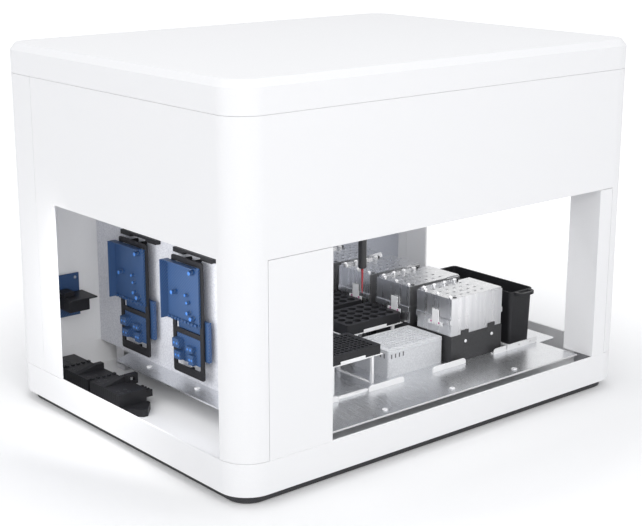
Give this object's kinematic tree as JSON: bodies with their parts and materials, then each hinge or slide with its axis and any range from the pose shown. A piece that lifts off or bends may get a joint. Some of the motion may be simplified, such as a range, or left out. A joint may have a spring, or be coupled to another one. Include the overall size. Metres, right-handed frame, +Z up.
{
  "type": "slide preparation workstation",
  "caption": "White benchtop laboratory workstation with an open deck, slide modules, labware on stands, a waste bin, a gantry pipettor and a side bay of circuit boards.",
  "frame": {"origin": "centre of the footprint, at the face that rests on the bench", "axes": "+X to the right seen from the front, +Y to the back, +Z up"},
  "size_m": [0.85, 0.65, 0.6175],
  "materials": {
    "white_shell": "satin",
    "white_tray": "satin paint",
    "black_plinth": "matte",
    "foot_rubber": "matte",
    "grey_wall": "fine speckled paint",
    "deck_metal": "brushed",
    "white_sheet": "satin paint",
    "screw_metal": "smooth",
    "silver_metal": "satin",
    "black_metal": "black anodised",
    "pale_plastic": "matte",
    "black_plastic": "matte",
    "nozzle_black": "matte",
    "needle_red": "gloss",
    "clear_plastic": "translucent",
    "board_blue": "satin lacquer",
    "frame_metal": "satin",
    "rail_steel": "ground",
    "motor_metal": "satin",
    "pulley_metal": "turned",
    "belt_rubber": "matte",
    "supply_metal": "satin"
  },
  "bodies": {
    "housing": {"plinth": "black_plinth", "feet": "foot_rubber", "base_tray": "white_tray", "body_shell": "white_shell", "rear_cover": "white_shell", "lid": "white_shell", "fascia_left": "white_shell", "fascia_right": "white_shell", "partition": "grey_wall", "back_wall": "grey_wall", "deck_plate": "deck_metal", "deck_standoffs": "black_metal", "deck_tabs": "white_sheet", "panel_screws": "screw_metal", "rack_stands": "white_sheet", "module_bases": "black_metal", "module_bodies": "silver_metal", "module_clips": "pale_plastic", "bin_bracket": "white_sheet", "board_frames": "black_plastic", "board_hangers": "black_plastic", "driver_boards": "board_blue", "io_boards": "board_blue", "rear_board": "board_blue", "terminal_train": "black_plastic", "gantry_posts": "frame_metal", "gantry_beams": "frame_metal", "x_rails": "rail_steel", "x_motor": "motor_metal", "x_belt": "belt_rubber", "fan_frames": "black_plastic", "power_supply": "supply_metal", "power_inlet": "black_plastic"},
    "bridge": {"bridge_beam": "frame_metal", "bridge_trucks": "frame_metal", "y_rail": "rail_steel", "y_motor": "motor_metal"},
    "x_pulley": {"x_pulley": "pulley_metal"},
    "x_idler": {"x_idler": "pulley_metal"},
    "y_screw": {"y_screw": "rail_steel"},
    "carriage": {"y_carriage": "frame_metal", "z_rail": "rail_steel", "z_motor": "motor_metal"},
    "z_screw": {"z_screw": "rail_steel"},
    "head": {"head_block": "frame_metal", "nozzle": "nozzle_black", "needle": "needle_red"},
    "well_plate": {"well_plate": "black_plastic"},
    "tube_rack_1": {"tube_rack_1": "black_plastic"},
    "tube_rack_2": {"tube_rack_2": "black_plastic"},
    "tip_box": {"tip_box": "clear_plastic", "pipette_tips": "clear_plastic"},
    "waste_bin": {"waste_bin": "black_plastic"},
    "module_cover_1": {"module_cover_1": "silver_metal"},
    "module_cover_2": {"module_cover_2": "silver_metal"},
    "module_cover_3": {"module_cover_3": "silver_metal"},
    "module_cover_4": {"module_cover_4": "silver_metal"},
    "fan_rotor_1": {"fan_rotor_1": "black_plastic"},
    "fan_rotor_2": {"fan_rotor_2": "black_plastic"},
    "rocker_switch": {"rocker_switch": "black_plastic"}
  },
  "joints": [
    {"name": "bridge_x", "type": "slide", "parent": "housing", "child": "bridge", "axis": [1, 0, 0], "range_m": [-0.145, 0.3]},
    {"name": "carriage_y", "type": "slide", "parent": "bridge", "child": "carriage", "axis": [0, 1, 0], "range_m": [-0.14, 0.285]},
    {"name": "head_z", "type": "slide", "parent": "carriage", "child": "head", "axis": [0, 0, 1], "range_m": [-0.062, 0.028]},
    {"name": "x_pulley_spin", "type": "hinge", "parent": "housing", "child": "x_pulley", "pos_m": [-0.30551, 0.26749, 0.552], "axis": [0, 0, 1], "continuous": true},
    {"name": "x_idler_spin", "type": "hinge", "parent": "housing", "child": "x_idler", "pos_m": [0.36401, 0.26749, 0.552], "axis": [0, 0, 1], "continuous": true},
    {"name": "y_screw_spin", "type": "hinge", "parent": "bridge", "child": "y_screw", "pos_m": [-0.03501, 0, 0.4752], "axis": [0, 1, 0], "continuous": true},
    {"name": "z_screw_spin", "type": "hinge", "parent": "carriage", "child": "z_screw", "pos_m": [-0.00001, -0.06999, 0.47], "axis": [0, 0, 1], "continuous": true},
    {"name": "well_plate_lift", "type": "slide", "parent": "housing", "child": "well_plate", "axis": [0, 0, 1], "range_m": [0, 0.06]},
    {"name": "tube_rack_1_lift", "type": "slide", "parent": "housing", "child": "tube_rack_1", "axis": [0, 0, 1], "range_m": [0, 0.06]},
    {"name": "tube_rack_2_lift", "type": "slide", "parent": "housing", "child": "tube_rack_2", "axis": [0, 0, 1], "range_m": [0, 0.06]},
    {"name": "tip_box_lift", "type": "slide", "parent": "housing", "child": "tip_box", "axis": [0, 0, 1], "range_m": [0, 0.06]},
    {"name": "waste_bin_lift", "type": "slide", "parent": "housing", "child": "waste_bin", "axis": [0, 0, 1], "range_m": [0, 0.11]},
    {"name": "module_cover_1_lift", "type": "slide", "parent": "housing", "child": "module_cover_1", "axis": [0, 0, 1], "range_m": [0, 0.05]},
    {"name": "module_cover_2_lift", "type": "slide", "parent": "housing", "child": "module_cover_2", "axis": [0, 0, 1], "range_m": [0, 0.05]},
    {"name": "module_cover_3_lift", "type": "slide", "parent": "housing", "child": "module_cover_3", "axis": [0, 0, 1], "range_m": [0, 0.05]},
    {"name": "module_cover_4_lift", "type": "slide", "parent": "housing", "child": "module_cover_4", "axis": [0, 0, 1], "range_m": [0, 0.05]},
    {"name": "fan_1_spin", "type": "hinge", "parent": "housing", "child": "fan_rotor_1", "pos_m": [-0.09501, 0.31, 0.2581], "axis": [0, 1, 0], "continuous": true},
    {"name": "fan_2_spin", "type": "hinge", "parent": "housing", "child": "fan_rotor_2", "pos_m": [0.00499, 0.31, 0.2581], "axis": [0, 1, 0], "continuous": true},
    {"name": "rocker_tilt", "type": "hinge", "parent": "housing", "child": "rocker_switch", "pos_m": [0.34, 0.31819, 0.1451], "axis": [1, 0, 0], "range_deg": [-8, 8]}
  ],
  "couplings": [
    {"joint": "x_pulley_spin", "follows": "bridge_x", "rad_per_m": 90.498},
    {"joint": "x_idler_spin", "follows": "bridge_x", "rad_per_m": 90.498},
    {"joint": "y_screw_spin", "follows": "carriage_y", "rad_per_m": -392.7},
    {"joint": "z_screw_spin", "follows": "head_z", "rad_per_m": -785.4}
  ]
}
